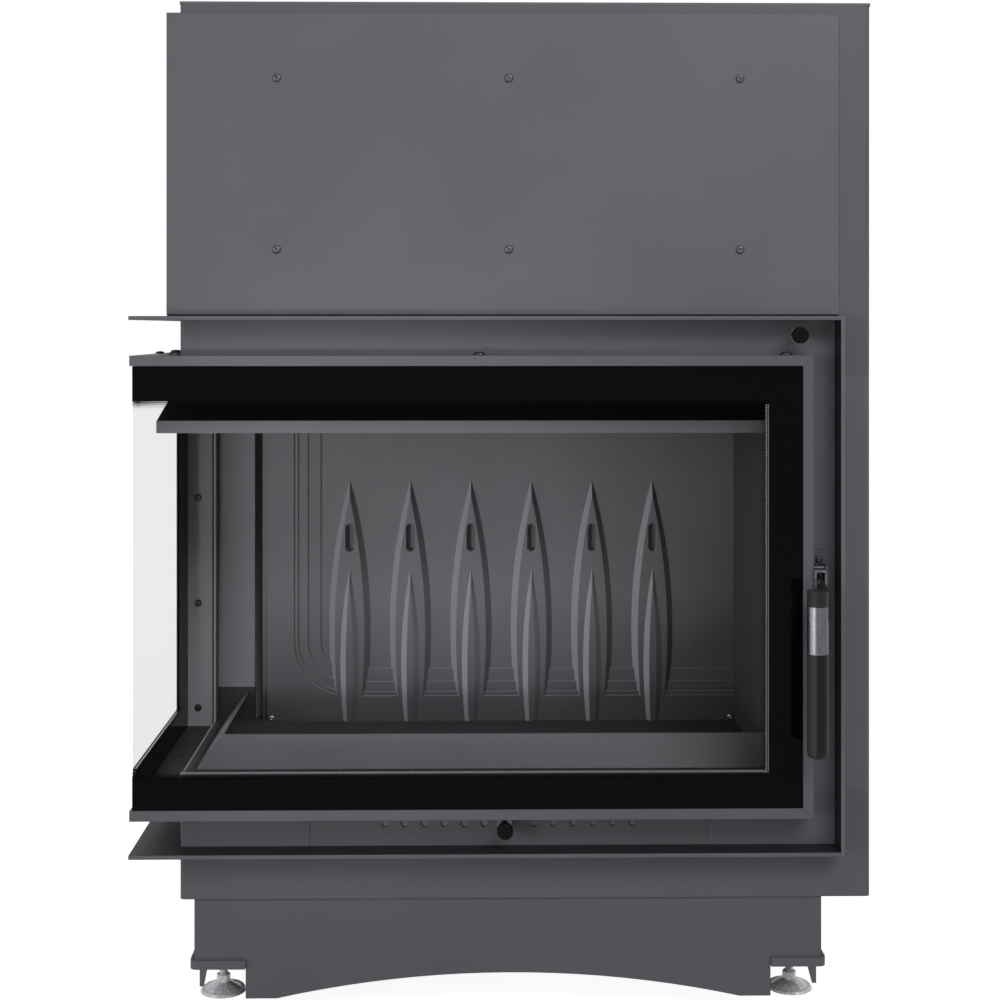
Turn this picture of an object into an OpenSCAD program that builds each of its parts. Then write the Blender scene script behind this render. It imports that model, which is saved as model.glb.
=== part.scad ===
// Corner fireplace insert: a steel body with an L-shaped glazed door on its front and left sides,
// a tall convection casing above, a trim frame, an arched plinth and four levelling feet.
// The origin is the middle of the footprint on the floor, X runs to the right, Y to the rear.

/* [Body] */
// Width of the body behind the trim
body_w = 879; // [820:1:940]
// Depth of the body from its front sheet to its rear sheet
body_d = 469; // [460:1:520]
// Thickness of the casing sheets
sheet_t = 3; // [2:0.5:4]
// Thickness of the top panel
top_t = 4; // [3:0.5:6]
// Outer radius of the folded casing corners
bend_r = 6; // [5:0.5:9]
// Distance from the body's middle to the middle of the firebox
fire_shift = 22; // [10:1:24]

/* [Plinth] */
// Gap between the plinth's lower edge and the floor
plinth_gap = 17.5; // [14:0.5:22]
// Height of the plinth
plinth_h = 127.5; // [115:0.5:160]
// Width of the plinth
plinth_w = 799; // [760:1:810]
// Width of the notch at each end of the plinth, where a foot stands
notch_w = 65; // [62:0.5:68]
// Height of that lower part
plinth_low_h = 42.5; // [40:0.5:50]
// Width of the arch
arch_w = 590; // [480:1:620]
// Rise of the arch
arch_h = 31.5; // [20:0.5:36]

/* [Trim] */
// How far the trim stands out beyond the left side
trim_side = 58; // [56:1:64]
// How far the trim stands out in front
trim_depth = 35; // [34:0.5:38]
// Thickness of the trim plates
trim_t = 5; // [3:0.5:6]
// Height of the lower trim shelf's top above the body's underside
lower_trim_rise = 67; // [55:0.5:70]
// Height of the upper trim shelf's underside above the door
upper_trim_gap = 44.5; // [40:0.5:60]
// Distance from the right trim plate to the body's right side
trim_inset = 40.5; // [38:0.5:60]

/* [Cover] */
// Height of the screwed cover
cover_h = 382.5; // [340:0.5:384]
// Distance from the cover's top to the body's top
cover_gap = 14.7; // [10:0.1:40]
// Thickness of the cover sheet
cover_t = 2; // [1.5:0.5:3]
// How far the cover stands out past the left side
cover_over = 16.5; // [10:0.5:20]
// Spacing of the cover screws across
cover_screw_dx = 294.5; // [240:0.5:300]
// Spacing of the cover screws up and down
cover_screw_dz = 217.7; // [180:0.1:250]
// Diameter of the button heads
button_d = 10.4; // [8:0.1:12]

/* [Door] */
// Height of the door's underside above the lower trim shelf
door_rise = 42.5; // [38:0.5:60]
// Height of the door
door_h = 581; // [560:0.5:600]
// Gap between the door and the right trim plate
door_gap = 34.6; // [34:0.1:40]
// Visible width of the frame bars
frame_w = 13; // [10:0.5:14]
// Depth of the front frame, between its face and the body
frame_d = 33; // [31:0.5:33.2]
// Depth of the side wing's bars across the wing
wing_d = 44; // [40:0.5:44]
// Thickness of the ceramic glass
glass_t = 4; // [3:0.5:5]
// Height of the glass retainers beyond the frame bars
retainer_w = 11; // [8:0.5:12]
// Diameter of the hinge pins
hinge_pin_d = 10; // [8:0.5:12]

/* [Handle] */
// Diameter of the grip
grip_d = 26; // [22:0.5:28]
// Length of the dark grip
grip_len = 128; // [100:1:140]
// Length of the steel ring above the grip
ring_len = 58; // [40:1:70]
// Length of the cap above the ring
cap_len = 19; // [15:0.5:25]
// Gap between the grip and the door's face
grip_gap = 32; // [24:0.5:40]

/* [Firebox] */
// Width of the cast back plate
back_w = 703; // [680:1:705]
// Distance from the firebox shell to the body's rear
rear_space = 68; // [62:1:72]
// Distance from the opening's top down to the lining's top
lining_drop = 10.5; // [8:0.5:30]
// Number of flame-shaped ribs on the back plate
leaf_count = 6; // [4:1:7]
// Spacing of the ribs
leaf_pitch = 91.1; // [80:0.1:95]
// Height of a rib
leaf_h = 362; // [300:1:380]
// Width of a rib
leaf_w = 62; // [50:1:66]
// How far a rib stands up from the plate
leaf_rise = 10; // [6:0.5:12]
// Depth of each step in the back plate
step_d = 2.5; // [2:0.5:3]
// Height of the log guard
guard_h = 39; // [30:0.5:50]
// How far the log guard leans in
guard_lean = 29; // [20:0.5:32]
// Slope of the baffle
baffle_slope = 15.6; // [10:0.1:17]

/* [Flue and air] */
// Inner diameter of the flue collar
flue_d = 200; // [160:1:220]
// Height of the collar above the top panel
flue_rise = 40; // [30:1:60]
// Distance from the body's rear to the flue's axis
flue_back = 159; // [150:1:170]
// Travel of the damper rod
damper_travel = 36; // [24:1:36]
// Travel of the air rod
air_travel = 40; // [30:1:40]
// Outer diameter of the outside-air spigot
spigot_d = 100; // [80:1:106]
// Length of the outside-air spigot
spigot_l = 50; // [40:1:60]
// Diameter of the control knobs
knob_d = 20.6; // [16:0.1:21]
// Diameter of the control rods
rod_d = 8; // [6:0.5:9]

/* [Feet] */
// Diameter of a foot's pad
pad_d = 60; // [50:1:64]
// Diameter of a foot's threaded rod
foot_rod_d = 10; // [8:0.5:12]
// Travel of a foot's screw
foot_travel = 25; // [15:1:30]

/* [Hidden] */

// One overrun for every cut, and the clearances between pieces
over = 1;
gap = 0.3;
fit = 0.1;

// Colours
graphite = "#57565b";
dark_steel = "#3a3a3e";
cast = "#4c4c50";
black = "#1a1a1c";
zinc = "#c9cbce";
brushed = "#9a9a9e";
clear = "#9fb4b8";
rope = "#b9b5a8";

// Overall box and the main planes
handle_reach = grip_gap + grip_d;
overall_w = body_w + trim_side;
overall_d = handle_reach + trim_depth + body_d + spigot_l;
front_y = handle_reach - overall_d / 2;
body_r = overall_w / 2;
body_l = body_r - body_w;
body_z = plinth_gap + plinth_h;
face = trim_depth;
rear = trim_depth + body_d;
plate_t = 32;
wing_past = 4;
shell_rear = rear - rear_space;
back_depth = shell_rear - plate_t;
wing_len = back_depth + wing_past;
flue_depth = rear - flue_back;
fire_x = (body_l + body_r) / 2 - fire_shift;
trim_l = -overall_w / 2;
trim_r = body_r - trim_inset;

// Heights of the trim and the door
lower_trim_top = body_z + lower_trim_rise;
door_z = lower_trim_top + door_rise;
door_top = door_z + door_h;
upper_trim_z = door_top + upper_trim_gap;
upper_trim_top = upper_trim_z + trim_t;
cover_lift = 2.3;
cover_z = upper_trim_top + cover_lift;
body_top = cover_z + cover_h + cover_gap;

// The door's outline and the lips that its seal lies between
door_inset = 1.2;
seal_t = 2;
door_l = trim_l + door_inset;
door_r = trim_r - trim_t - door_gap;
wing_in = door_l + wing_d;
flange_out = wing_in + seal_t + gap;
lip = frame_w + retainer_w;
open_over = 1;
open_z = door_z + lip + open_over;
open_top = door_top - lip - open_over;
open_r = door_r - lip - open_over;
wing_end = wing_len + seal_t + open_over;

// Firebox planes: the bed, the sill round it, the linings and the welded shell
sill_t = 5;
sill_drop = 4.5;
bed_t = 15;
shell_t = 4;
side_lining_t = 25;
sill_z = open_z + sill_t;
bed_z = sill_z - sill_drop;
floor_z = bed_z - bed_t;
back_l = fire_x - back_w / 2;
back_r = fire_x + back_w / 2;
shell_r = back_r + side_lining_t;
lining_top = open_top - lining_drop;

// A block given by its ends across, in depth and in height
module block(x, d, z) {
    translate([x[0], d[0], z[0]]) cube([x[1] - x[0], d[1] - d[0], z[1] - z[0]]);
}

// Depths are measured from the trim's front edge
module from_front() {
    translate([0, front_y, 0]) children();
}

// Round bars along X and along the depth
module bar_across(x, d, z, r) {
    translate([x[0], d, z]) rotate([0, 90, 0]) cylinder(h = x[1] - x[0], r = r, $fn = 48);
}

module bar_deep(x, d, z, r) {
    translate([x, d[0], z]) rotate([-90, 0, 0]) cylinder(h = d[1] - d[0], r = r, $fn = 48);
}

// A button head screw, its head on the plane of its place and its shank behind it
head_share = 0.3;
shank_share = 0.25;
socket_share = 0.2;
head_shares = [[0.5, 0], [0.5, 0.3], [0.46, 0.62], [0.38, 0.88], [0.28, 1]];

module button_screw(d, shank) {
    head = d * head_share;
    rotate([90, 0, 0]) difference() {
        union() {
            translate([0, 0, -shank]) cylinder(h = shank, r = d * shank_share, $fn = 32);
            rotate_extrude($fn = 48)
                polygon(concat([[0, 0]], [for (p = head_shares) [p[0] * d, p[1] * head]], [[0, head]]));
        }
        translate([0, 0, head / 3]) cylinder(h = head, r = d * socket_share, $fn = 6);
    }
}

module screw_hole(d, depth) {
    rotate([90, 0, 0]) translate([0, 0, -depth])
        cylinder(h = depth + over, r = d * shank_share + fit, $fn = 32);
}

// Plan of a front sheet, folded back at its left end, its right end or both
return_l = 20;

module folded_plan(x, d, left, right) {
    x0 = left ? x[0] + bend_r : x[0];
    x1 = right ? x[1] - bend_r : x[1];
    translate([x0, d]) square([x1 - x0, sheet_t]);
    if (left) fold_plan(x[0], d);
    if (right) translate([2 * x[1], 0]) mirror([1, 0]) fold_plan(x[1], d);
}

module fold_plan(x, d) {
    translate([x, d + bend_r]) square([sheet_t, return_l - bend_r]);
    intersection() {
        translate([x, d]) square(bend_r);
        translate([x + bend_r, d + bend_r]) difference() {
            circle(r = bend_r, $fn = 48);
            circle(r = bend_r - sheet_t, $fn = 48);
        }
    }
}

// A level sheet that meets a folded front sheet: its front corners are notched for the fold's inner radius
module notched_sheet(x, d, z, right) {
    notch = bend_r - sheet_t;
    block([x[0] + notch, right ? x[1] - notch : x[1]], [d[0], d[0] + notch], z);
    block(x, [d[0] + notch, d[1]], z);
}

module raise(z) {
    translate([0, 0, z[0]]) linear_extrude(z[1] - z[0]) children();
}

// Controls: places of the rods, their bushes and the damper's crank
bush_t = 3;
bush_len = 9;
bush_flange_w = 2.5;
bush_flange_t = 1.5;
bush_r = rod_d / 2 + bush_t;
damper_in = 51;
damper_rise = 25.5;
damper_x = trim_r - trim_t - damper_in;
damper_z = door_top + damper_rise;
air_shift = 5.5;
air_drop = 14;
air_x = fire_x - air_shift;
air_z = door_z - air_drop;
arm_l = 39;
spindle_r = 5;
spindle_drop = 8.5;
spindle_z = damper_z + arm_l;
throat_z = spindle_z + spindle_drop - shell_t / 2;

// Casing sheets
vent_w = 506;
vent_top = door_z + frame_w / 2;
front_skin = [face - over, face + sheet_t + over];

module upper_front() {
    color(graphite) from_front() difference() {
        raise([open_top, body_top - top_t]) folded_plan([body_l, body_r], face, true, true);
        bar_deep(damper_x, front_skin, damper_z, bush_r);
        cover_screw_places() screw_hole(button_d, sheet_t + over);
    }
}

module right_column() {
    color(graphite) from_front()
        raise([open_z, open_top]) folded_plan([open_r, body_r], face, false, true);
}

module lower_front() {
    color(graphite) from_front() difference() {
        raise([body_z, open_z]) folded_plan([body_l, body_r], face, true, true);
        block([fire_x - vent_w / 2, fire_x + vent_w / 2], front_skin, [lower_trim_top, vent_top]);
    }
}

side_d = [face + return_l, rear - sheet_t];
left_x = [body_l, body_l + sheet_t];
right_x = [body_r - sheet_t, body_r];

module left_side_upper() {
    color(graphite) from_front() block(left_x, side_d, [open_top, body_top - top_t]);
}

module left_side_lower() {
    color(graphite) from_front() block(left_x, side_d, [body_z, open_z]);
}

module left_side_rear() {
    color(graphite) from_front() block(left_x, [wing_end, side_d[1]], [open_z, open_top]);
}

module right_side() {
    color(graphite) from_front() block(right_x, side_d, [body_z, body_top - top_t]);
}

// The rear panel has convection slots near its top and the hole for the air spigot
louvre_w = 110;
louvre_h = 8;
louvre_pitch = 150;
louvre_rise = 22;
louvre_drop = 60;
louvre_cols = 5;
louvre_rows = 3;
rear_skin = [rear - sheet_t - over, rear + over];

module rear_panel() {
    color(graphite) from_front() difference() {
        block([body_l, body_r], [rear - sheet_t, rear], [body_z, body_top - top_t]);
        bar_deep(fire_x, rear_skin, spigot_z, spigot_d / 2 - spigot_t);
        for (i = [0:louvre_cols - 1], j = [0:louvre_rows - 1])
            translate([fire_x + (i - (louvre_cols - 1) / 2) * louvre_pitch, 0,
                       body_top - louvre_drop - j * louvre_rise])
                block([-louvre_w / 2, louvre_w / 2], rear_skin, [0, louvre_h]);
    }
}

flue_r = flue_d / 2;
flue_t = 4;

module top_panel() {
    color(graphite) from_front() difference() {
        block([body_l, body_r], [face, rear], [body_top - top_t, body_top]);
        translate([fire_x, flue_depth, body_top - top_t - over])
            cylinder(h = top_t + 2 * over, r = flue_r + flue_t, $fn = 96);
    }
}

module bottom_panel() {
    color(dark_steel) from_front()
        notched_sheet([body_l + sheet_t, body_r - sheet_t], [face + sheet_t, rear - sheet_t],
                      [body_z, body_z + sheet_t], true);
}

// The cover, folded back at its left end, and its six screws
cover_return = 14;
cover_x = [body_l - cover_over, trim_r];

module casing_cover() {
    color(graphite) from_front() difference() {
        union() {
            block(cover_x, [face - cover_t, face], [cover_z, cover_z + cover_h]);
            block([cover_x[0], cover_x[0] + cover_t], [face, face + cover_return],
                  [cover_z, cover_z + cover_h]);
        }
        cover_screw_places() translate([0, -cover_t, 0]) screw_hole(button_d, cover_t + over);
    }
}

module cover_screw_places() {
    mid_z = cover_z + cover_h / 2;
    for (i = [-1:1], j = [-1, 1])
        translate([fire_x + i * cover_screw_dx, face, mid_z + j * cover_screw_dz / 2]) children();
}

module cover_screws() {
    color(brushed) from_front()
        cover_screw_places() translate([0, -cover_t, 0]) button_screw(button_d, cover_t + sheet_t);
}

// Trim: two L-shaped shelves and the plate that joins them on the right
trim_past = 48;

module trim_shelf(z) {
    block([trim_l, trim_r - trim_t], [0, face], [z, z + trim_t]);
    block([trim_l, body_l], [face, wing_len + trim_past], [z, z + trim_t]);
}

module upper_trim() {
    color(graphite) from_front() trim_shelf(upper_trim_z);
}

module lower_trim() {
    color(graphite) from_front() trim_shelf(lower_trim_top - trim_t);
}

module right_trim() {
    color(graphite) from_front()
        block([trim_r - trim_t, trim_r], [0, face], [lower_trim_top - trim_t, upper_trim_top]);
}

// Vent panel with a row of air holes on either side of the air rod
hole_d = 9;
hole_pitch = 25.2;
hole_first = 31.5;
hole_drop = 14.5;
hole_count = 6;

module vent_panel() {
    color(graphite) from_front() difference() {
        block([fire_x - vent_w / 2 + gap, fire_x + vent_w / 2 - gap], [face, face + sheet_t],
              [lower_trim_top, vent_top]);
        for (side = [-1, 1], i = [0:hole_count - 1])
            bar_deep(fire_x + side * (hole_first + i * hole_pitch), front_skin,
                     door_z - hole_drop, hole_d / 2);
        bar_deep(air_x, front_skin, air_z, bush_r);
    }
}

// Flanges round the side opening, which the wing's seal closes on
flange_t = 4.5;

module side_opening_frame() {
    posts_z = [sill_z, open_top - sill_t];
    color(graphite) from_front() {
        block([flange_out, body_l], [face, wing_end], [open_z - lip, sill_z]);
        block([flange_out, body_l], [face, wing_end], [open_top - sill_t, open_top + lip]);
        block([flange_out, flange_out + flange_t], [wing_end - lip - seal_t, wing_end], posts_z);
        block([flange_out + flange_t, body_l + sheet_t], [wing_end - seal_t, wing_end], posts_z);
    }
}

// Welded shell of the firebox
module firebox_rear() {
    color(dark_steel) from_front()
        block([body_l + sheet_t, shell_r + shell_t], [shell_rear, shell_rear + shell_t],
              [floor_z - shell_t, throat_z]);
}

module firebox_right() {
    color(dark_steel) from_front()
        block([shell_r, shell_r + shell_t], [face + sheet_t, shell_rear], [floor_z - shell_t, throat_z]);
}

grate_w = 160;
grate_l = 60;
grate_d = 170;

module firebox_floor() {
    color(dark_steel) from_front() difference() {
        notched_sheet([body_l + sheet_t, shell_r], [face + sheet_t, shell_rear],
                      [floor_z - shell_t, floor_z], false);
        block([fire_x - grate_w / 2, fire_x + grate_w / 2], [grate_d, grate_d + grate_l],
              [floor_z - shell_t - over, floor_z + over]);
    }
}

// Ceiling of the firebox: a throat that the damper closes, and the damper's bearings under it
throat_w = 310;
throat_l = 190;
throat_before = 95;
throat_d = flue_depth - throat_before;
bearing_w = 12;
bearing_x = [fire_x - throat_w / 2 - 2 * bearing_w, fire_x + throat_w / 2 + bearing_w];

module throat_plate() {
    color(dark_steel) from_front() {
        difference() {
            notched_sheet([body_l + sheet_t, shell_r + shell_t], [face + sheet_t, shell_rear + shell_t],
                          [throat_z, throat_z + shell_t], false);
            block([fire_x - throat_w / 2, fire_x + throat_w / 2],
                  [throat_d - throat_l / 2, throat_d + throat_l / 2],
                  [throat_z - over, throat_z + shell_t + over]);
        }
        for (x = bearing_x) difference() {
            block([x, x + bearing_w], [throat_d - bearing_w, throat_d + bearing_w],
                  [spindle_z - bearing_w, throat_z]);
            bar_across([x - over, x + bearing_w + over], throat_d, spindle_z, spindle_r + fit);
        }
    }
}

// Smoke dome: a tapered hood between the ceiling and the flue collar
dome_drop = 110;
dome_w = 420;
dome_l = 270;
dome_before = 60;
dome_d = flue_depth - dome_before;
dome_z = throat_z + shell_t;
dome_top = body_top - dome_drop;

module dome_form(z, inset) {
    hull() {
        block([fire_x - dome_w / 2 + inset, fire_x + dome_w / 2 - inset],
              [dome_d - dome_l / 2 + inset, dome_d + dome_l / 2 - inset], [z[0], z[0] + over]);
        translate([fire_x, flue_depth, z[1] - over])
            cylinder(h = over, r = flue_r + flue_t - inset, $fn = 48);
    }
}

module smoke_dome() {
    color(dark_steel) from_front() difference() {
        dome_form([dome_z, dome_top], 0);
        dome_form([dome_z - over / 2, dome_top + over / 2], flue_t);
    }
}

collar_flange_w = 12;

module flue_collar() {
    color(dark_steel) from_front() translate([fire_x, flue_depth, dome_top]) difference() {
        union() {
            cylinder(h = body_top + flue_rise - dome_top, r = flue_r + flue_t, $fn = 96);
            translate([0, 0, body_top - dome_top])
                cylinder(h = top_t, r = flue_r + flue_t + collar_flange_w, $fn = 96);
        }
        translate([0, 0, -over])
            cylinder(h = body_top + flue_rise - dome_top + 2 * over, r = flue_r, $fn = 96);
    }
}

// Cast back plate: three steps round its field, and flame-shaped ribs with an air slot in each
step_insets = [40.5, 46.5, 61, 80];
corner_r = 82;
plate_lip = 7.5;
step_low = 3;
field_d = back_depth + step_d * len(step_insets);

// Half-width of a rib at a share of its height: widest at wide_share, pointed at its tip
wide_share = 0.39;
foot_share = 0.66;
rib_steps = 14;
function rib_half(share) = share < wide_share
    ? 1 - (1 - foot_share) * pow((wide_share - share) / wide_share, 2)
    : 1 - pow((share - wide_share) / (1 - wide_share), 2);

module rib_outline(w, h) {
    right = [for (i = [0:rib_steps]) [w / 2 * rib_half(i / rib_steps), h * i / rib_steps]];
    left = [for (i = [rib_steps - 1:-1:0]) [-w / 2 * rib_half(i / rib_steps), h * i / rib_steps]];
    polygon(concat(right, left));
}

blade_w = 27.4;
blade_h = 230;
blade_rise = 4;
rib_top_shares = [0.72, 0.93];
blade_top_shares = [0.4, 0.9];

module rib() {
    rotate([90, 0, 0]) {
        linear_extrude(height = leaf_rise, scale = rib_top_shares, slices = 1) rib_outline(leaf_w, leaf_h);
        translate([0, 0, leaf_rise])
            linear_extrude(height = blade_rise, scale = blade_top_shares, slices = 1)
                rib_outline(blade_w, blade_h);
    }
}

module rounded_field(x, z, r) {
    for (px = [x[0] + r, x[1] - r], pz = [z[0] + r, z[1] - r]) translate([px, pz]) circle(r = r, $fn = 64);
    translate([x[0] + r, z[0]]) square([x[1] - x[0] - 2 * r, z[1] - z[0]]);
    translate([x[0], z[0] + r]) square([x[1] - x[0], z[1] - z[0] - 2 * r]);
}

slot_len = 41.7;
slot_w = 12.6;
slot_up = 275;
slot_skin = 14;

module slot_plan() {
    for (end = [-1, 1]) translate([0, end * (slot_len - slot_w) / 2]) circle(r = slot_w / 2, $fn = 32);
    square([slot_w, slot_len - slot_w], center = true);
}

module rib_places(d, up) {
    for (i = [0:leaf_count - 1])
        translate([fire_x + (i - (leaf_count - 1) / 2) * leaf_pitch, d, bed_z + up]) children();
}

module back_plate() {
    color(cast) from_front() difference() {
        union() {
            difference() {
                union() {
                    block([back_l, back_r], [back_depth, shell_rear], [bed_z, lining_top]);
                    block([back_l - plate_lip, back_l + over], [back_depth + plate_lip, shell_rear],
                          [bed_z, lining_top]);
                }
                for (i = [0:len(step_insets) - 1])
                    translate([0, back_depth + step_d * (i + 1), 0]) rotate([90, 0, 0])
                        linear_extrude(step_d + over)
                            rounded_field([back_l + step_insets[i], back_r + corner_r],
                                          [bed_z + step_insets[i] - step_low, lining_top + corner_r],
                                          corner_r - step_insets[i] + step_insets[0]);
            }
            rib_places(field_d, 0) rib();
        }
        rib_places(shell_rear - slot_skin, slot_up) rotate([90, 0, 0])
            linear_extrude(plate_t + leaf_rise + blade_rise) slot_plan();
        bolt_places() screw_hole(bolt_d, bolt_l + over);
    }
}

lining_set = 22;
left_lining_t = 11;
left_lining_d = wing_end - left_lining_t;
lining_slot = 10;
left_lining_r = back_l - plate_lip - lining_slot;

module right_lining() {
    color(cast) from_front()
        block([back_r, shell_r], [face + sheet_t + lining_set, shell_rear], [floor_z, lining_top]);
}

module left_lining() {
    color(cast) from_front() {
        block([body_l + sheet_t, left_lining_r], [left_lining_d, wing_end], [sill_z, open_top - sill_t]);
        block([flange_out + flange_t, body_l + sheet_t], [left_lining_d, wing_end - seal_t],
              [sill_z, open_top - sill_t]);
    }
}

// Sill round the fire bed, and the bed with its grate slots
guard_in = 91;
guard_side_in = 16;
guard_t = 4;
guard_seat = 8;
guard_d = face + guard_in;
guard_x = flange_out + guard_side_in;
sill_x = guard_x + guard_seat;
sill_d = guard_d + guard_seat;

module sill_plate() {
    color(cast) from_front() {
        notched_sheet([body_l + sheet_t, back_r], [face + sheet_t, sill_d], [floor_z, sill_z], false);
        block([back_r, shell_r], [face + sheet_t, face + sheet_t + lining_set], [floor_z, sill_z]);
        block([body_l + sheet_t, sill_x], [sill_d, left_lining_d], [floor_z, sill_z]);
        block([body_l + sheet_t, left_lining_r], [left_lining_d, wing_end], [floor_z, sill_z]);
        block([body_l, body_l + sheet_t], [face + return_l, wing_end], [open_z, sill_z]);
    }
}

grate_slot_w = 8;
grate_count = 9;
grate_pitch = grate_w / grate_count;

module hearth_plate() {
    color(cast) from_front() difference() {
        union() {
            block([sill_x, left_lining_r], [sill_d, left_lining_d], [floor_z, bed_z]);
            block([left_lining_r, back_r], [sill_d, shell_rear], [floor_z, bed_z]);
        }
        for (i = [0:grate_count - 1])
            translate([fire_x + (i - (grate_count - 1) / 2) * grate_pitch, 0, 0])
                block([-grate_slot_w / 2, grate_slot_w / 2], [grate_d, grate_d + grate_l],
                      [floor_z - over, bed_z + over]);
    }
}

// Leaning log guard of two strips with a mitred corner
module guard_section() {
    polygon([[0, 0], [guard_t, 0], [guard_t + guard_lean, guard_h], [guard_lean, guard_h]]);
}

module front_of_mitre() {
    reach = back_r - guard_x;
    raise([sill_z - over, sill_z + guard_h + over])
        polygon([[guard_x, guard_d], [guard_x + reach, guard_d], [guard_x + reach, guard_d + reach]]);
}

module log_guard_front() {
    color(cast) from_front() intersection() {
        translate([guard_x, guard_d, sill_z]) rotate([90, 0, 90])
            linear_extrude(back_r - guard_x) guard_section();
        front_of_mitre();
    }
}

module log_guard_side() {
    color(cast) from_front() difference() {
        translate([guard_x, left_lining_d, sill_z]) rotate([90, 0, 0])
            linear_extrude(left_lining_d - guard_d) guard_section();
        front_of_mitre();
    }
}

bolt_d = 9;
bolt_l = 8;
bolt_in = 7;
bolt_up = 5;

module bolt_places() {
    for (x = [back_l + bolt_in, back_r - bolt_in]) translate([x, back_depth, bed_z + bolt_up]) children();
}

module guard_bolts() {
    color(zinc) from_front() bolt_places() button_screw(bolt_d, bolt_l);
}

// Baffle: a sloped plate with a folded lip at its front
lip_h = 16;
baffle_t = 5;
baffle_run = 175;
baffle_set = 25;
baffle_drop = 100.7;
baffle_in = 22.3;
baffle_d = face + baffle_set;
baffle_z = door_top - baffle_drop;
baffle_x = [door_l + baffle_in, back_r - gap];

module baffle() {
    color(dark_steel) from_front() {
        block(baffle_x, [baffle_d, baffle_d + baffle_t], [baffle_z, baffle_z + lip_h]);
        translate([baffle_x[0], baffle_d + baffle_t, baffle_z + lip_h - baffle_t])
            rotate([baffle_slope, 0, 0]) cube([baffle_x[1] - baffle_x[0], baffle_run, baffle_t]);
    }
}

// Air box under the firebox floor, and the spigot that feeds it
spigot_t = 2;
box_w = 300;
box_set = 25;
box_d = face + box_set;
box_z = [body_z + sheet_t, floor_z - shell_t];
spigot_z = (box_z[0] + box_z[1]) / 2;

module air_box() {
    color(dark_steel) from_front() difference() {
        block([fire_x - box_w / 2, fire_x + box_w / 2], [box_d, rear - sheet_t], box_z);
        block([fire_x - box_w / 2 + sheet_t, fire_x + box_w / 2 - sheet_t],
              [box_d + sheet_t, rear - sheet_t + over], [box_z[0] - over, box_z[1] + over]);
        bar_deep(air_x, [box_d - over, box_d + sheet_t + over], air_z, bush_r);
    }
}

module air_spigot() {
    color(dark_steel) from_front() translate([fire_x, rear, spigot_z]) rotate([-90, 0, 0])
        difference() {
            cylinder(h = spigot_l, r = spigot_d / 2, $fn = 96);
            translate([0, 0, -over]) cylinder(h = spigot_l + 2 * over, r = spigot_d / 2 - spigot_t, $fn = 96);
        }
}

// Plinth: a front plate with notched corners and an arch, and its side and rear sheets
plinth_t = 3;
plinth_set = 3;
plinth_back = 30;
plinth_d = face + plinth_set;
plinth_rear = rear - plinth_back;
arch_r = (pow(arch_w / 2, 2) + pow(arch_h, 2)) / (2 * arch_h);
low_z = plinth_gap + plinth_low_h;
plinth_low_w = plinth_w - 2 * notch_w;

module plinth_front() {
    color(graphite) from_front() translate([fire_x, plinth_d + plinth_t, 0]) rotate([90, 0, 0])
        linear_extrude(plinth_t) difference() {
            union() {
                translate([-plinth_w / 2, low_z]) square([plinth_w, body_z - low_z]);
                translate([-plinth_low_w / 2, plinth_gap]) square([plinth_low_w, plinth_low_h + over]);
            }
            translate([0, plinth_gap + arch_h - arch_r]) circle(r = arch_r, $fn = 400);
        }
}

module plinth_frame() {
    color(graphite) from_front() {
        for (x = [fire_x - plinth_w / 2, fire_x + plinth_w / 2 - plinth_t])
            block([x, x + plinth_t], [plinth_d + plinth_t, plinth_rear - plinth_t], [low_z, body_z]);
        block([fire_x - plinth_w / 2, fire_x + plinth_w / 2], [plinth_rear - plinth_t, plinth_rear],
              [low_z, body_z]);
    }
}

// Foot brackets: trays with a rim round the plinth's corner, a gusset and a hole for the foot's rod
foot_off = 6;
foot_out = notch_w / 2 - foot_off;
foot_set = 72;
foot_dx = plinth_w / 2 - foot_out;
foot_d = [plinth_d + foot_set, plinth_rear - foot_set];
tray_t = 4;
tray_rim = 7;
tray_r = 9;
tray_in_r = 2;
tray_out = 5.6;
tray_reach = 40;
tray_w = notch_w + tray_out - gap;
tray_l = foot_set + tray_reach;
gusset_t = 5;
gusset_in = 13;
gusset_h = 21;

module tray_plan(w, l, r) {
    translate([r, r]) circle(r = r, $fn = 32);
    translate([r, 0]) square([w - r, l]);
    translate([0, r]) square([w, l - r]);
}

module foot_bracket() {
    difference() {
        union() {
            difference() {
                linear_extrude(tray_t + tray_rim) tray_plan(tray_w, tray_l, tray_r);
                translate([tray_t, tray_t, tray_t]) linear_extrude(tray_rim + over)
                    tray_plan(tray_w, tray_l, tray_in_r);
            }
            translate([gusset_in, 0, 0]) rotate([90, 0, 90]) linear_extrude(gusset_t)
                polygon([[0, 0], [tray_l / 2, 0], [gusset_t, -gusset_h], [0, -gusset_h]]);
        }
        translate([tray_out + foot_out, foot_set + tray_t + gap, -over])
            cylinder(h = tray_t + 2 * over, r = foot_rod_d / 2 + fit, $fn = 48);
    }
}

module foot_brackets() {
    mid_d = (plinth_d + plinth_rear) / 2;
    color(graphite) from_front() translate([fire_x, mid_d, low_z - tray_t])
        for (sx = [0, 1], sd = [0, 1]) mirror([sx, 0, 0]) mirror([0, sd, 0])
            translate([-plinth_w / 2 - tray_out, plinth_d - mid_d - tray_t - gap, 0]) foot_bracket();
}

// Levelling feet: pad, faceted cone, hexagon and threaded rod
pad_h = 3;
cone_h = 8;
hub_h = 10;
hub_d = 18;
rod_h = 96;
pad_top_share = 0.92;
cone_share = 0.8;

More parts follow.
